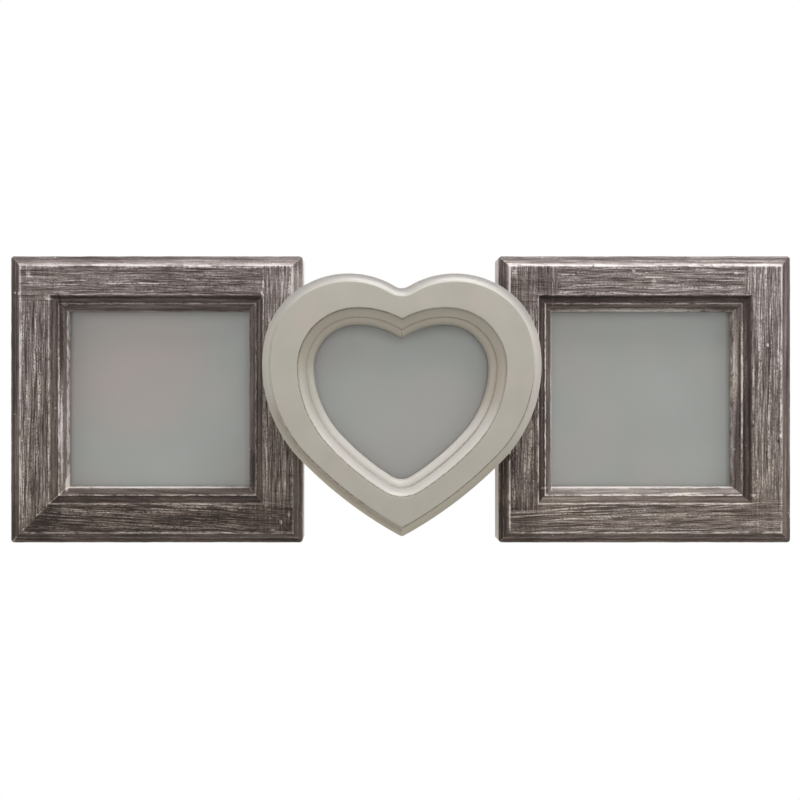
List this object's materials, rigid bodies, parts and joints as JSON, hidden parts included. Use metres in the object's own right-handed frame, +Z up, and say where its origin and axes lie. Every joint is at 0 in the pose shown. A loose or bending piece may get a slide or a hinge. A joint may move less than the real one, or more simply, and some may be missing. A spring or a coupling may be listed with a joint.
{
  "type": "collage photo frame",
  "caption": "Wall-hung collage photo frame: square mitred frames in weathered grey paint, joined by a cream heart-shaped frame in front, each with glass and a turn-button back.",
  "frame": {"origin": "on the back plane, midway between the pins of the two hanger rings", "axes": "+X to the right seen from the front, +Y towards the wall, +Z up"},
  "size_m": [0.42, 0.0353, 0.1544],
  "materials": {
    "weathered_paint": "grey-brown paint dry-brushed over a white base on moulded wood, matte",
    "cream_paint": "cream paint on routed fibreboard, satin",
    "clear_glass": "clear picture glass",
    "grey_paper": "plain grey insert paper, matte",
    "hardboard": "brown hardboard, smooth",
    "nail_steel": "bare strip steel",
    "plated_steel": "nickel-plated steel, worn satin"
  },
  "bodies": {
    "frame": {"heart_backing_board": "hardboard", "heart_fixing_screws": "plated_steel", "heart_frame": "cream_paint", "heart_glass_pane": "clear_glass", "heart_photo_insert": "grey_paper", "heart_turn_button_screws": "plated_steel", "left_backing_board": "hardboard", "left_bottom_rail": "weathered_paint", "left_corner_nails": "nail_steel", "left_glass_pane": "clear_glass", "left_hanger_screw": "plated_steel", "left_hanger_strap": "plated_steel", "left_inner_stile": "weathered_paint", "left_outer_stile": "weathered_paint", "left_photo_insert": "grey_paper", "left_top_rail": "weathered_paint", "left_turn_button_screws": "plated_steel", "right_backing_board": "hardboard", "right_bottom_rail": "weathered_paint", "right_corner_nails": "nail_steel", "right_glass_pane": "clear_glass", "right_hanger_screw": "plated_steel", "right_hanger_strap": "plated_steel", "right_inner_stile": "weathered_paint", "right_outer_stile": "weathered_paint", "right_photo_insert": "grey_paper", "right_top_rail": "weathered_paint", "right_turn_button_screws": "plated_steel"},
    "left_outer_lower_turn_button": {"left_outer_lower_turn_button": "plated_steel"},
    "left_outer_upper_turn_button": {"left_outer_upper_turn_button": "plated_steel"},
    "left_inner_lower_turn_button": {"left_inner_lower_turn_button": "plated_steel"},
    "left_inner_upper_turn_button": {"left_inner_upper_turn_button": "plated_steel"},
    "right_outer_lower_turn_button": {"right_outer_lower_turn_button": "plated_steel"},
    "right_outer_upper_turn_button": {"right_outer_upper_turn_button": "plated_steel"},
    "right_inner_lower_turn_button": {"right_inner_lower_turn_button": "plated_steel"},
    "right_inner_upper_turn_button": {"right_inner_upper_turn_button": "plated_steel"},
    "heart_top_turn_button": {"heart_top_turn_button": "plated_steel"},
    "heart_left_turn_button": {"heart_left_turn_button": "plated_steel"},
    "heart_right_turn_button": {"heart_right_turn_button": "plated_steel"},
    "left_hanger_ring": {"left_hanger_ring": "plated_steel"},
    "right_hanger_ring": {"right_hanger_ring": "plated_steel"}
  },
  "joints": [
    {"name": "left_outer_lower_button_turn", "type": "hinge", "parent": "frame", "child": "left_outer_lower_turn_button", "pos_m": [-0.18812, 0, -0.096], "axis": [0, -1, 0], "continuous": true},
    {"name": "left_outer_upper_button_turn", "type": "hinge", "parent": "frame", "child": "left_outer_upper_turn_button", "pos_m": [-0.18812, 0, -0.04], "axis": [0, -1, 0], "continuous": true},
    {"name": "left_inner_lower_button_turn", "type": "hinge", "parent": "frame", "child": "left_inner_lower_turn_button", "pos_m": [-0.07462, 0, -0.096], "axis": [0, -1, 0], "continuous": true},
    {"name": "left_inner_upper_button_turn", "type": "hinge", "parent": "frame", "child": "left_inner_upper_turn_button", "pos_m": [-0.07462, 0, -0.04], "axis": [0, -1, 0], "continuous": true},
    {"name": "right_outer_lower_button_turn", "type": "hinge", "parent": "frame", "child": "right_outer_lower_turn_button", "pos_m": [0.18812, 0, -0.096], "axis": [0, -1, 0], "continuous": true},
    {"name": "right_outer_upper_button_turn", "type": "hinge", "parent": "frame", "child": "right_outer_upper_turn_button", "pos_m": [0.18812, 0, -0.04], "axis": [0, -1, 0], "continuous": true},
    {"name": "right_inner_lower_button_turn", "type": "hinge", "parent": "frame", "child": "right_inner_lower_turn_button", "pos_m": [0.07462, 0, -0.096], "axis": [0, -1, 0], "continuous": true},
    {"name": "right_inner_upper_button_turn", "type": "hinge", "parent": "frame", "child": "right_inner_upper_turn_button", "pos_m": [0.07462, 0, -0.04], "axis": [0, -1, 0], "continuous": true},
    {"name": "heart_top_button_turn", "type": "hinge", "parent": "frame", "child": "heart_top_turn_button", "pos_m": [0, -0.016, -0.02783], "axis": [0, -1, 0], "continuous": true},
    {"name": "heart_left_button_turn", "type": "hinge", "parent": "frame", "child": "heart_left_turn_button", "pos_m": [-0.04251, -0.016, -0.08548], "axis": [0, -1, 0], "range_deg": [-150, 80]},
    {"name": "heart_right_button_turn", "type": "hinge", "parent": "frame", "child": "heart_right_turn_button", "pos_m": [0.04251, -0.016, -0.08548], "axis": [0, -1, 0], "range_deg": [-80, 150]},
    {"name": "left_ring_swing", "type": "hinge", "parent": "frame", "child": "left_hanger_ring", "pos_m": [-0.13137, 0.00165, 0], "axis": [1, 0, 0], "range_deg": [0, 180]},
    {"name": "right_ring_swing", "type": "hinge", "parent": "frame", "child": "right_hanger_ring", "pos_m": [0.13137, 0.00165, 0], "axis": [1, 0, 0], "range_deg": [0, 180]}
  ]
}
